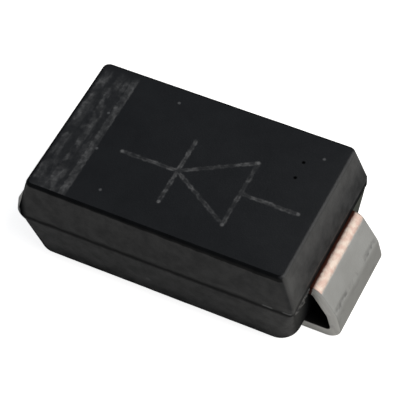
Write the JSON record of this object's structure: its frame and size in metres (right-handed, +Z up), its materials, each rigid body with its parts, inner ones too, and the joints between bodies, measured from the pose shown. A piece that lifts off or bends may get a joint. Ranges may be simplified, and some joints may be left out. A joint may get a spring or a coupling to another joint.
{
  "type": "schottky diode",
  "caption": "Surface-mount Schottky rectifier: a black moulded block with a J-bend lead curling under each end.",
  "frame": {"origin": "middle of the footprint, level with the undersides of the two feet", "axes": "+X along the body from the cathode end to the anode end, +Z up from the circuit board, +Y across the width"},
  "size_m": [0.0056, 0.0028, 0.0019],
  "materials": {
    "moulding_epoxy": "fine matte as moulded, laser-hatched cathode band",
    "tinned_copper": "matte tin plating, bare copper where it left the mould",
    "silicon": "polished",
    "solder": "dull"
  },
  "bodies": {
    "root": {"moulded_body": "moulding_epoxy", "anode_lead": "tinned_copper", "cathode_lead": "tinned_copper", "schottky_die": "silicon", "die_solder": "solder", "contact_solder": "solder"}
  },
  "joints": []
}
